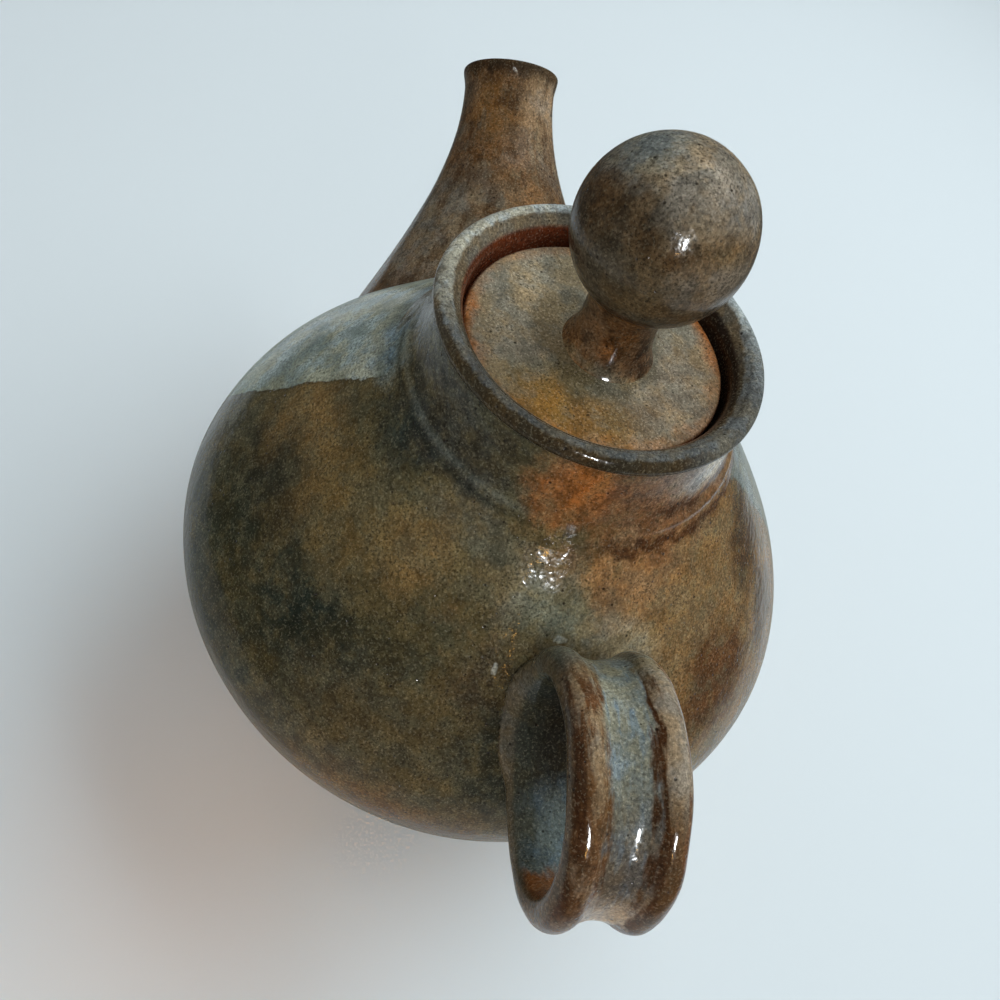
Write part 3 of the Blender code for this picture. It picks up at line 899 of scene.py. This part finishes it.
@dataclass
class Collar:
    """The standing ring on the shoulder, with a rolled rim and a ledge for the lid."""

    foot: float = 32.9 * MM
    foot_level: float = 101.2 * MM
    waist: float = 29.7 * MM
    neck: float = 29.0 * MM
    roll_level: float = 117.5 * MM
    roll: float = 1.85 * MM
    gallery: float = 25.3 * MM
    ledge: float = 109.4 * MM
    throat: float = 21.0 * MM
    bore_foot: Pair = (27.9 * MM, 101.2 * MM)
    skirt: float = 3.6 * MM
    sink: float = 0.12 * MM
    ridge_height: float = 0.55 * MM
    ridge_width: float = 0.7 * MM
    ridge_rise: float = 1.0 * MM
    hand: Pair = (38 * MM, 0.5 * MM)

    def section(self, belly: Belly) -> Outline:
        """Gives the closed section, from the luted foot up, over the rim and down inside.

        Args:
            belly: The pot whose shoulder the foot is smoothed onto.

        Returns:
            The outline, ending where it began.
        """
        shoulder = [point for point in belly.outside(self.sink) if point[1] < self.foot_level - self.skirt]
        end, before = Vector(shoulder[-1]), Vector(shoulder[-2])
        slope = (end - before).normalized()
        rise = self.roll_level - self.foot_level
        bend = Vector((self.foot - 1.5 * MM, self.foot_level + 3.4 * MM))
        upward = Vector((self.waist + 0.2 * MM, self.foot_level + 0.45 * rise))
        points = [(self.foot - 0.7 * MM, end.y + 0.3 * MM), tuple(end)]
        pull = bend - (upward - bend).normalized() * 1.8 * MM
        points += cubic((end, end + slope * 2.4 * MM, pull, bend), 14)
        points += cubic((points[-1], upward, (self.waist - 0.3 * MM, self.foot_level + 0.7 * rise),
                         (self.neck, self.roll_level - self.roll)), 20)
        points += arc((self.neck, self.roll_level), self.roll, -60, 150, 18)
        points += cubic((points[-1], (self.gallery + 0.3 * MM, self.roll_level),
                         (self.gallery, self.roll_level - 1.2 * MM), (self.gallery, 114.9 * MM)), 6)
        points += cubic((points[-1], (self.gallery, 112 * MM), (self.gallery, 110.6 * MM),
                         (self.gallery - 1.0 * MM, self.ledge)), 8)
        points += cubic((points[-1], (self.gallery - 1.6 * MM, self.ledge),
                         (self.throat + 1.8 * MM, self.ledge), (self.throat + 0.8 * MM, self.ledge)), 4)
        points += arc((self.throat + 0.8 * MM, self.ledge - 0.8 * MM), 0.8 * MM, 90, 180, 5)
        points += cubic((points[-1], (self.throat, 106 * MM), (self.throat, 104.8 * MM),
                         (self.throat + 1.0 * MM, 103.6 * MM)), 8)
        points += cubic((points[-1], (24 * MM, 101.4 * MM), (26 * MM, 101.2 * MM), self.bore_foot), 6)
        return points + [points[0]]

    def build(self, belly: Belly) -> Piece:
        """Turns the collar onto its pot."""
        collar = Bench.turn("pot_collar", self.section(belly))

        def ridge(point: Vector) -> Vector:
            """Raises a thin finger ridge in the crease, on the side away from the spout."""
            side = min(1, max(0, (-point.y - 1 * MM) / (9 * MM)))
            above = (point.z - self.foot_level - self.ridge_rise) / self.ridge_width
            lift = self.ridge_height * side * math.exp(-(above**2))
            out = math.hypot(point.x, point.y)
            grow = 1 + lift / out if out > self.foot - 3.5 * MM else 1
            return Vector((point.x * grow, point.y * grow, point.z))

        Bench.press(collar, ridge)
        Bench.wobble(collar, *self.hand)
        Bench.smooth(collar, 50)
        return collar


@dataclass
class Spout:
    """The thrown spout: a flared root, a slender neck and a thin lip, cut to the belly."""

    spindle: Spindle
    lip: float = 11.7 * MM
    neck: float = 11.1 * MM
    neck_depth: float = 5.0 * MM
    root: float = 40.0 * MM
    depth: float = 70.0 * MM
    wall: float = 3.2 * MM
    root_wall: float = 4.5 * MM
    under: float = 0.38
    grip: float = 1.2 * MM
    hand: Pair = (26 * MM, 0.4 * MM)

    def outside(self) -> Outline:
        """Gives the outer skin from the lip to the root, with levels below zero."""
        start, root = (self.neck, -self.neck_depth), (self.root, -self.depth)
        lip = cubic(((self.lip, -0.8 * MM), (self.lip, -2.0 * MM), (self.neck, -3.5 * MM), start), 8)
        return lip + cubic((start, (self.neck, -28.4 * MM), (29.02 * MM, -50.5 * MM), root), 48)

    def section(self) -> Outline:
        """Gives the closed section: outer skin, root, bore and lip."""
        outer = self.outside()
        bore = []
        for radius, level in outer[::-1]:
            thick = self.wall + (self.root_wall - self.wall) * min(1, -level / self.depth)
            bore.append((radius - thick, level))
        edge = [(self.lip - self.wall, -0.9 * MM)]
        edge += arc((self.lip - 0.9 * MM, -0.9 * MM), 0.9 * MM, 120, 0, 8)
        return outer + bore + edge + [outer[0]]

    def build(self, belly: Belly) -> Piece:
        """Turns the spout, flattens its underside and cuts its root to the belly.

        Args:
            belly: The pot that it is luted to.

        Returns:
            The spout in its place.
        """
        spout = Bench.turn("pot_spout", self.section(), SLIM_TURNS)

        def flatten(point: Vector) -> Vector:
            """Draws the side below the spindle in towards the root."""
            share = 1 - self.under * min(1, -point.z / self.depth) if point.x > 0 else 1
            return Vector((point.x * share, point.y, point.z))

        Bench.press(spout, flatten)
        Bench.wobble(spout, *self.hand)
        Bench.place(spout, self.spindle.mouth, self.spindle.turn())
        core = [(0.0, self.grip)] + belly.outside(self.grip) + [(0.0, belly.top + 20 * MM)]
        Bench.cut(spout, Bench.turn("core", core + [core[0]], PLAIN_TURNS))
        Bench.smooth(spout)
        return spout


@dataclass
class Strainer:
    """The pierced plug of clay in the wall behind the spout."""

    spindle: Spindle
    radius: float = 17.5 * MM
    gap: float = 0.3 * MM
    hole: float = 2.2 * MM
    pitch: float = 8.2 * MM
    holes: int = 6
    long: float = 60 * MM
    depth: float = 56 * MM

    def rod(self, radius: float, centre: Vector, name: str) -> Piece:
        """Makes a round rod along the spindle, for piercing.

        Args:
            radius: The rod's radius.
            centre: The middle of the rod.
            name: The rod's name.

        Returns:
            The rod.
        """
        Bench.clear()
        bpy.ops.mesh.primitive_cylinder_add(vertices=96, radius=radius, depth=self.long)
        rod = bpy.context.object
        rod.name = name
        Bench.place(rod, centre, self.spindle.turn())
        return rod

    def middle(self) -> Vector:
        """Gives a place on the spindle near the wall."""
        return self.spindle.mouth + self.spindle.inward() * self.depth

    def build(self, belly: Belly) -> Piece:
        """Cuts the plug out of a second wall and pierces it.

        Args:
            belly: The pot whose wall it fills.

        Returns:
            The strainer.
        """
        outer = belly.outside(0.4 * MM)
        inner = belly.outside(belly.wall - 0.4 * MM)[::-1]
        plug = Bench.turn("spout_strainer", outer + inner + [outer[0]], PLAIN_TURNS)
        Bench.cut(plug, self.rod(self.radius, self.middle(), "plug"), "INTERSECT")
        side = Vector((0, 1, 0))
        rise = self.spindle.inward().cross(side)
        for index in range(self.holes + 1):
            angle = math.tau * index / self.holes
            out = (side * math.cos(angle) + rise * math.sin(angle)) * self.pitch
            if index == self.holes:
                out = Vector()
            Bench.cut(plug, self.rod(self.hole, self.middle() + out, "bit"))
        Bench.smooth(plug)
        return plug


@dataclass
class RingHandle:
    """The ring on the back of the shoulder, with a bead on each side and a groove between."""

    centre: Vector
    turn: Triple
    bore: float = 15.9 * MM
    bead_radius: float = 2.9 * MM
    bead_place: Pair = (18.9 * MM, 6.35 * MM)
    groove: float = 19.5 * MM
    foot_reach: float = 5 * MM
    foot_spread: float = 0.3
    hand: Pair = (9 * MM, 0.55 * MM)

    def section(self) -> Outline:
        """Gives the ring's closed section, as distance from its axis and place along it."""
        out, side = self.bead_place
        bead = arc((out, side), self.bead_radius, -35, 112, 16)
        mouth = cubic((bead[-1], (16.4 * MM, 8.7 * MM), (self.bore, 6.6 * MM), (self.bore, 3.4 * MM)), 14)
        middle = cubic((mouth[-1], (self.bore - 0.15 * MM, 1 * MM), (self.bore - 0.15 * MM, -1 * MM),
                        (mouth[-1][0], -mouth[-1][1])), 10)
        other_mouth = [(radius, -level) for radius, level in mouth[::-1]]
        other_bead = [(radius, -level) for radius, level in bead[::-1]]
        pull = self.groove - 0.2 * MM
        groove = cubic((other_bead[-1], (pull, -2.4 * MM), (pull, 2.4 * MM), bead[0]), 16)
        return bead + mouth + middle + other_mouth[1:] + other_bead + groove

    def build(self, belly: Belly) -> Piece:
        """Turns the ring, stands it on the shoulder and spreads its foot there.

        Args:
            belly: The pot that it is luted to.

        Returns:
            The ring in its place.
        """
        ring = Bench.turn("ring_handle", self.section(), PLAIN_TURNS)
        Bench.wobble(ring, *self.hand)
        Bench.place(ring, self.centre, self.turn)
        skin = belly.outside()
        axis = Euler(self.turn).to_matrix() @ Vector((0, 0, 1))

        def spread(point: Vector) -> Vector:
            """Widens the clay where it is close to the shoulder."""
            place = Vector((math.hypot(point.x, point.y), point.z))
            near = 1.0
            if point.x > self.centre.x - self.foot_reach:
                near = min((place - Vector(step)).length for step in skin)
            share = max(0, 1 - near / self.foot_reach)
            return point + axis * (point - self.centre).dot(axis) * self.foot_spread * share**2

        Bench.press(ring, spread)
        Bench.smooth(ring, 60)
        return ring


@dataclass
class LidPieces:
    """The drop-in lid: a plate with a flange below, a waisted stem and a ball on top."""

    radius: float = 24.7 * MM
    top: float = 113.9 * MM
    underside: float = 109.7 * MM
    dish: float = 0.6 * MM
    flange: float = 20.2 * MM
    flange_bore: float = 16.7 * MM
    flange_foot: float = 103.7 * MM
    stem_foot: float = 8.4 * MM
    stem_waist: float = 6.8 * MM
    stem_top: float = 8.0 * MM
    stem_levels: Pair = (113.2 * MM, 127.6 * MM)
    stem_sway: Pair = (-2.4 * MM, -1.2 * MM)
    ball: float = 14.8 * MM
    ball_seat: float = -57.5
    plate_hand: Pair = (16 * MM, 0.3 * MM)
    stem_hand: Pair = (8 * MM, 0.35 * MM)
    ball_hand: Pair = (14 * MM, 0.45 * MM)
    ball_centre: Vector = field(default_factory=lambda: Vector((0, -1.2 * MM, 139.85 * MM)))

    def plate(self) -> Piece:
        """Turns the lid's plate with its flange."""
        edge = 1.1 * MM
        points = [(0.0, self.top - self.dish)]
        points += cubic((points[0], (9 * MM, self.top - self.dish), (19 * MM, self.top - 0.1 * MM),
                         (self.radius - edge, self.top)), 22)
        points += arc((self.radius - edge, self.top - edge), edge, 90, 0, 6)
        points += arc((self.radius - 0.5 * MM, self.underside + 0.5 * MM), 0.5 * MM, 0, -90, 4)
        points += [(self.flange + 0.6 * MM, self.underside), (self.flange, self.underside - 0.6 * MM)]
        points += arc((self.flange - 0.9 * MM, self.flange_foot + 0.9 * MM), 0.9 * MM, 0, -90, 4)
        points += arc((self.flange_bore + 0.9 * MM, self.flange_foot + 0.9 * MM), 0.9 * MM, -90, -180, 4)
        points += [(self.flange_bore, self.underside - 0.8 * MM)]
        points += [(self.flange_bore - 0.8 * MM, self.underside)]
        plate = Bench.turn("lid_plate", points + [(0.0, self.underside)], PLAIN_TURNS)
        Bench.wobble(plate, *self.plate_hand)
        Bench.smooth(plate, 45)
        return plate

    def stem(self) -> Piece:
        """Turns the stem and leans it to the ball's seat."""
        low, high = self.stem_levels
        rise = high - low
        points = [(0.0, low - 0.3 * MM), (self.stem_foot + 1.0 * MM, low - 0.3 * MM)]
        points += cubic((points[-1], (self.stem_foot - 0.4 * MM, low + 0.4 * MM),
                         (self.stem_waist, low + 0.25 * rise), (self.stem_waist, low + 0.6 * rise)), 18)
        points += cubic((points[-1], (self.stem_waist, low + 0.85 * rise),
                         (self.stem_top, high - 0.5 * MM), (self.stem_top + 0.8 * MM, high + 0.8 * MM)), 10)
        stem = Bench.turn("lid_stem", points + [(0.0, high + 0.8 * MM)], STEM_TURNS)
        start, end = self.stem_sway

        def lean(point: Vector) -> Vector:
            """Slides a level sideways with its height."""
            share = min(1, max(0, (point.z - low) / rise))
            return Vector((point.x, point.y + start + (end - start) * share, point.z))

        Bench.press(stem, lean)
        Bench.wobble(stem, *self.stem_hand)
        Bench.smooth(stem, 50)
        return stem

    def knob(self) -> Piece:
        """Turns the ball with its flat seat."""
        points = arc((0.0, 0.0), self.ball, 90, self.ball_seat, 72)
        points[0] = (0.0, self.ball)
        ball = Bench.turn("lid_ball", points + [(0.0, points[-1][1])], SLIM_TURNS)
        Bench.place(ball, self.ball_centre)
        Bench.wobble(ball, *self.ball_hand)
        Bench.smooth(ball, 50)
        return ball


def toward(azimuth: float, height: float) -> Vector:
    """Gives the direction that lies at an azimuth and a height in degrees."""
    across, up = math.radians(azimuth), math.radians(height)
    return Vector((math.cos(across) * math.cos(up), math.sin(across) * math.cos(up), math.sin(up)))


@dataclass(frozen=True)
class Lamp:
    """One soft lamp, given by where it stands as seen from the pot."""

    name: str
    azimuth: float
    height: float
    away: float
    size: Pair
    radiance: float
    tint: Triple
    mirrored: bool = True
    aim: Triple = (0.0, 0.0, 60 * MM)
    spread: float = 180.0
    lights: bool = True

    def light(self) -> None:
        """Hangs the lamp and aims it."""
        data = bpy.data.lights.new(self.name, "AREA")
        data.shape = "RECTANGLE"
        data.size, data.size_y = self.size
        data.energy = self.radiance * math.pi * self.size[0] * self.size[1]
        data.color = self.tint
        data.spread = math.radians(self.spread)
        lamp = bpy.data.objects.new(self.name, data)
        bpy.context.scene.collection.objects.link(lamp)
        way = toward(self.azimuth, self.height)
        lamp.location = Vector(self.aim) + way * self.away
        lamp.rotation_euler = way.to_track_quat("Z", "Y").to_euler()
        lamp.visible_glossy = self.mirrored
        lamp.visible_diffuse = self.lights


@dataclass
class Studio:
    """The pale floor, the soft light and the camera at the photograph's angle."""

    camera_place: Vector = field(default_factory=lambda: Vector((-106.1 * MM, 62.8 * MM, 222.9 * MM)))
    camera_azimuth: float = 150.435
    camera_height: float = 53.075
    camera_roll: float = 27.65
    lens: float = 32.4
    sensor: float = 36.0
    nearest: float = 0.01
    floor_radius: float = 0.8
    floor_colours: tuple[Colour, Colour] = ((216, 222, 224), (96, 94, 88))
    mirror_fade: Pair = (170 * MM, 260 * MM)
    sky_rise: Pair = (0.02, 0.45)
    sky_colours: tuple[Colour, Colour] = ((165, 168, 170), (84, 86, 88))
    sky_mirrored: Colour = (104, 106, 108)
    lamps: tuple[Lamp, ...] = (
        Lamp("key", -64, 46, 1.05, (1.5, 0.9), 1.62, (0.86, 0.95, 1.0), False,
             (0.0, -30 * MM, 60 * MM), 110.0),
        Lamp("overhead", 160, 78, 1.9, (1.6, 1.6), 0.45, (1.0, 0.96, 0.9), False),
        Lamp("glow", 160, 50, 1.5, (0.3, 0.3), 24, (0.94, 0.98, 1.0), False),
        Lamp("desk", 140, 30, 0.3, (0.05, 0.05), 1.1, (1.0, 0.42, 0.1), False,
             (-50 * MM, 45 * MM, 0.0), 35.0),
        Lamp("window", 181, 30.5, 1.5, (0.13, 0.24), 640, (0.92, 0.97, 1.0), lights=False),
        Lamp("warm_window", 176, 21, 1.5, (0.035, 0.035), 260, (1.0, 0.52, 0.12), lights=False),
        Lamp("high_window", 171, 39, 1.5, (0.04, 0.03), 300, (0.95, 0.98, 1.0), lights=False),
    )

    def floor(self) -> None:
        """Lays a plain pale floor, which the glaze mirrors darker away from the pot."""
        Bench.clear()
        bpy.ops.mesh.primitive_circle_add(vertices=96, radius=self.floor_radius, fill_type="NGON")
        floor = bpy.context.object
        floor.name = "floor"
        material = bpy.data.materials.new("pale_floor")
        material.use_nodes = True
        shader = material.node_tree.nodes["Principled BSDF"]
        mixer = Mixer(material.node_tree)
        away = mixer.vector("LENGTH", mixer.node("ShaderNodeTexCoord").outputs["Object"])
        mirrored = mixer.node("ShaderNodeLightPath").outputs["Is Glossy Ray"]
        far = mixer.both(mirrored, mixer.spread(away, *self.mirror_fade))
        mixer.feed(shader.inputs["Base Color"], mixer.blend(far, *self.floor_colours))
        shader.inputs["Roughness"].default_value = 0.9
        shader.inputs["Specular IOR Level"].default_value = 0.2
        floor.data.materials.append(material)

    def world(self) -> None:
        """Sets a quiet sky, pale at the horizon and dimmer overhead."""
        world = bpy.data.worlds.new("studio")
        world.use_nodes = True
        world.node_tree.nodes.clear()
        mixer = Mixer(world.node_tree)
        height = mixer.axes(mixer.node("ShaderNodeTexCoord").outputs["Generated"])[2]
        colour = mixer.blend(mixer.spread(height, *self.sky_rise), *self.sky_colours)
        mirrored = mixer.node("ShaderNodeLightPath").outputs["Is Glossy Ray"]
        colour = mixer.blend(mirrored, colour, self.sky_mirrored)
        background = mixer.node("ShaderNodeBackground")
        mixer.feed(background.inputs["Color"], colour)
        output = mixer.node("ShaderNodeOutputWorld")
        mixer.feed(output.inputs["Surface"], background.outputs[0])
        bpy.context.scene.world = world

    def camera(self) -> None:
        """Places the camera as the photograph was taken."""
        data = bpy.data.cameras.new("camera")
        data.lens = self.lens
        data.sensor_width = self.sensor
        data.clip_start = self.nearest
        camera = bpy.data.objects.new("camera", data)
        bpy.context.scene.collection.objects.link(camera)
        aim = toward(self.camera_azimuth, self.camera_height).to_track_quat("Z", "Y").to_matrix().to_4x4()
        roll = Matrix.Rotation(math.radians(self.camera_roll), 4, "Z")
        camera.matrix_world = Matrix.Translation(self.camera_place) @ aim @ roll
        bpy.context.scene.camera = camera

    def build(self) -> None:
        """Sets up the whole studio."""
        self.floor()
        self.world()
        self.camera()
        for lamp in self.lamps:
            lamp.light()
        bpy.context.scene.view_settings.view_transform = "Standard"


SHOULDER_FLASHES_AND_PAINTED_LIGHT = colour_patches(
    ((122, 94, 60), (-34, -34, 80), (34, 44, 42), 0.95, 0.35),
    ((84, 78, 56), (8, 66, 58), (26, 12, 22), 0.8, 0.6),
    ((58, 52, 37), (-8, 54, 76), (14, 9, 10), 0.9, 0.6),
    ((127, 103, 65), (-3, 49, 84), (14, 12, 9), 0.85, 0.55),
    ((112, 94, 60), (-19, 41, 87), (12, 8, 7), 0.8, 0.6),
    ((38, 50, 48), (-11, 32, 100), (8, 6, 6), 0.9, 0.6),
    ((118, 106, 76), (-27, 30, 91), (11, 10, 7), 0.75, 0.6),
    ((44, 48, 34), (-26, 58, 56), (34, 22, 18), 0.75, 0.5),
    ((39, 46, 38), (-38, 45, 70), (16, 12, 9), 0.95, 0.6),
    ((40, 44, 34), (-8, 51, 79), (7, 7, 6), 0.75, 0.7),
    ((52, 54, 42), (-42, 35, 76), (8, 8, 6), 0.6, 0.8),
    ((126, 100, 62), (-30, 30, 90), (7, 7, 6), 0.7, 0.7),
    ((92, 72, 48), (-49, 20, 77), (4, 5, 5), 0.6, 0.7),
    ((82, 74, 54), (-55, 36, 61), (16, 22, 15), 0.8, 0.55),
    ((96, 70, 40), (-64, 26, 47), (14, 22, 7), 0.8, 0.6),
    # Painted shade: this spot and the next are dark contact shade beside the handle's +Y side, where it meets
    # the shoulder.
    ((46, 48, 40), (-62, 12, 67), (14, 6, 13), 0.85, 0.6),
    ((56, 50, 38), (-49, 16, 78), (6, 5, 6), 0.75, 0.6),
    ((110, 104, 82), (-33, 17, 94), (6, 6, 5), 0.7, 0.8),
    ((122, 110, 86), (-28, 23, 97), (6, 6, 5), 0.7, 0.8),
    # Pale glaze pooled above the handle, lightened as a painted reflection haze round the window glint.
    ((136, 134, 112), (-42, 4, 90), (6, 9, 6), 0.85, 0.8),
    ((112, 86, 60), (-40, -2, 92.5), (3.5, 3.5, 3.5), 0.8, 0.6),
    # Pale glaze pooled at the handle's root, lightened as a painted reflection haze round the window glint.
    ((160, 148, 122), (-46, -6, 85), (6, 7, 6), 0.9, 0.7),
    ((84, 80, 62), (-45, 12, 85), (4, 4, 5), 0.7, 0.7),
    ((156, 115, 75), (-36, -8, 96), (9, 10, 8), 0.95, 0.7),
    ((134, 106, 70), (-40, -23, 85), (10, 9, 8), 0.7, 0.7),
    ((66, 45, 26), (-22, -39, 87), (9, 8, 13), 0.9, 0.5),
    ((66, 44, 26), (-30, -50, 72), (9, 5, 10), 0.8, 0.6),
    ((112, 112, 102), (-10, -42, 90), (6, 5, 6), 0.8, 0.6),
    ((88, 58, 34), (-47, -34, 72), (12, 11, 13), 0.95, 0.5),
    ((71, 67, 58), (-15, 26, 106), (22, 12, 9), 0.8, 0.5),
    ((114, 130, 134), (9, 36, 100), (7, 6, 6), 0.95, 0.5),
    ((126, 88, 60), (-24, -12, 108), (20, 20, 10), 0.9, 0.45),
    ((176, 106, 52), (-29, 8, 110), (6, 7, 7), 0.9, 0.7),
    ((156, 132, 112), (-24, -17, 112), (10, 9, 5), 0.8, 0.7),
    ((170, 163, 152), (-20, -22, 109.5), (9, 8, 5), 0.95, 0.6),
    ((205, 208, 198), (-45.5, 4.6, 86.8), (1.5, 1.3, 1.0), 0.9, 0.3),
    ((180, 184, 178), (-48.4, 15.2, 80.2), (1.0, 1.0, 0.9), 0.8, 0.3),
)

BODY_GLAZE = Glaze(
    "body_glaze",
    ground=(100, 88, 60),
    second=(84, 76, 52),
    colour_patches=SHOULDER_FLASHES_AND_PAINTED_LIGHT,
    marks=Coat.pot,
)

COLLAR_GLAZE = Glaze(
    "collar_glaze",
    ground=(100, 88, 60),
    second=(84, 76, 52),
    colour_patches=SHOULDER_FLASHES_AND_PAINTED_LIGHT,
    dark_share=0.65,
    mottle=0.42,
    marks=Coat.collar,
)

SPOUT_MOUTH = (98.6 * MM, 0.0, 102.1 * MM)
SPOUT_TILT = 42.8

SPOUT_GLAZE = Glaze(
    "spout_glaze",
    ground=(114, 86, 58),
    second=(92, 70, 50),
    colour_patches=colour_patches(
        ((134, 96, 54), (84, 6, 101), (7, 5, 10), 0.7, 0.6),
        ((158, 134, 108), (87, -7, 103), (10, 6, 12), 0.8, 0.6),
        ((88, 60, 34), (74, 10, 93), (8, 5, 8), 0.85, 0.7),
        ((132, 106, 84), (72, 1, 97), (6, 4, 6), 0.7, 0.7),
        ((98, 84, 70), (75, -10, 94), (8, 4, 8), 0.7, 0.6),
        ((122, 112, 96), (60, 17, 84), (14, 12, 12), 0.8, 0.6),
    ),
    dark_share=0.6,
    marks=lambda coat: coat.runs(SPOUT_MOUTH, (0.0, math.radians(90 - SPOUT_TILT), 0.0)),
)

RING_CENTRE = (-70.724 * MM, 3.583 * MM, 86.475 * MM)
RING_TURN = (math.radians(90 - 3.4), 0.0, math.radians(-5.65))

HANDLE_GLAZE = Glaze(
    "handle_glaze",
    ground=(98, 70, 44),
    second=(84, 56, 34),
    dark_share=0.45,
    marks=lambda coat: coat.ring(RING_CENTRE, RING_TURN),
)

LID_GLAZE = Glaze(
    "lid_glaze",
    ground=(154, 138, 112),
    second=(130, 120, 100),
    colour_patches=colour_patches(
        ((126, 94, 50), (-18, 4, 114), (8, 14, 6), 0.9, 0.5),
        ((154, 138, 108), (-9, 18, 114), (5, 5, 6), 0.8, 0.6),
        ((128, 110, 88), (-10, -14, 114), (12, 10, 6), 0.8, 0.5),
        ((126, 116, 96), (18, 3, 114), (6, 8, 6), 0.7, 0.6),
        ((184, 104, 40), (6, -24, 114), (8, 2.5, 6), 0.9, 0.6),
        ((160, 100, 52), (6, 24.8, 114), (14, 1.2, 6), 0.8, 0.8),
        ((106, 102, 78), (-9, 8, 114), (6, 9, 6), 0.6, 0.6),
        ((158, 120, 64), (-14.5, 12, 114), (6, 5, 6), 0.9, 0.6),
    ),
    dark=(60, 50, 38),
    pale=(176, 164, 144),
    dark_share=0.75,
    contrast=0.36,
    grain=1700.0,
    mottle=0.16,
    marks=Coat.lid,
)

STEM_GLAZE = Glaze(
    "stem_glaze",
    ground=(132, 96, 62),
    second=(92, 66, 44),
    colour_patches=colour_patches(
        ((140, 120, 96), (-10, 1, 115), (5, 8, 3), 0.7, 0.6),
        ((58, 40, 28), (-5, -7, 119), (6, 3, 8), 0.8, 0.5),
        ((142, 108, 76), (-3, 6, 120), (6, 4, 6), 0.8, 0.6),
        ((104, 70, 38), (-7, -1, 122), (4, 3, 5), 0.7, 0.6),
        ((168, 104, 50), (-8, 1, 118), (3, 2.5, 2.5), 0.8, 0.7),
        ((134, 118, 92), (0, -2.4, 112.9), (16, 16, 1.2), 0.8, 0.5),
    ),
    mottle=0.5,
    dark_share=0.8,
)

KNOB_GLAZE = Glaze(
    "knob_glaze",
    ground=(82, 63, 42),
    second=(60, 45, 30),
    colour_patches=colour_patches(
        ((132, 118, 98), (-3, -3, 152), (12, 13, 8), 0.9, 0.5),
        ((164, 144, 120), (-5, 2, 153), (6, 5, 4), 0.8, 0.6),
        ((132, 120, 102), (-9, 5, 150), (5, 5, 4), 0.8, 0.7),
        ((128, 130, 122), (4, 6, 151), (8, 7, 6), 0.8, 0.6),
        ((122, 104, 84), (-13, -6, 142), (7, 6, 7), 0.7, 0.6),
        ((86, 72, 54), (-11, 9, 146), (5, 5, 6), 0.7, 0.6),
        ((60, 44, 26), (-10.4, 7.6, 146.6), (2.6, 2.6, 2.4), 0.8, 0.7),
        ((136, 122, 104), (-8, 4, 151), (4, 3.5, 2.5), 0.8, 0.7),
        ((134, 124, 112), (-9, -7, 151), (5, 5, 4), 0.8, 0.6),
        ((128, 110, 90), (-14, -3, 141.5), (4, 5, 4), 0.8, 0.6),
        ((124, 96, 60), (-12, -6, 147), (4, 4, 3), 0.7, 0.6),
        ((100, 86, 66), (-10, 7, 137), (8, 8, 5), 0.7, 0.6),
    ),
    mottle=0.42,
    dark_share=0.75,
    pale_share=0.5,
)

STRAINER_CLAY = Glaze(
    "strainer_clay",
    ground=(104, 82, 62),
    second=(92, 72, 54),
    dark_share=0.3,
    pale_share=0.2,
)


def main() -> None:
    """Builds the teapot's pieces in order and sets the studio round them."""
    logging.basicConfig(level=logging.INFO, format="%(message)s")
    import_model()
    kiln = Kiln()
    body_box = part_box("body")
    spindle = Spindle(Vector(SPOUT_MOUTH), math.radians(SPOUT_TILT))
    belly = Belly(radius=body_box[1][0])
    strainer = Strainer(spindle)
    hole = strainer.rod(strainer.radius + strainer.gap, strainer.middle(), "hole")
    dress(belly.build(hole), BODY_GLAZE.fire(kiln), Part.POT, "body")
    dress(Collar().build(belly), COLLAR_GLAZE.fire(kiln), Part.POT, "collar")
    dress(Spout(spindle).build(belly), SPOUT_GLAZE.fire(kiln), Part.POT, "spout")
    dress(strainer.build(belly), STRAINER_CLAY.fire(kiln), Part.POT, "strainer")
    ring = RingHandle(centre=Vector(RING_CENTRE), turn=RING_TURN)
    dress(ring.build(belly), HANDLE_GLAZE.fire(kiln), Part.POT, "handle_ring")
    lid = LidPieces()
    dress(lid.plate(), LID_GLAZE.fire(kiln), Part.LID, "lid")
    dress(lid.stem(), STEM_GLAZE.fire(kiln), Part.LID, "knob_stem")
    dress(lid.knob(), KNOB_GLAZE.fire(kiln), Part.LID, "knob_ball")
    Studio().build()


if __name__ == "__main__":
    main()
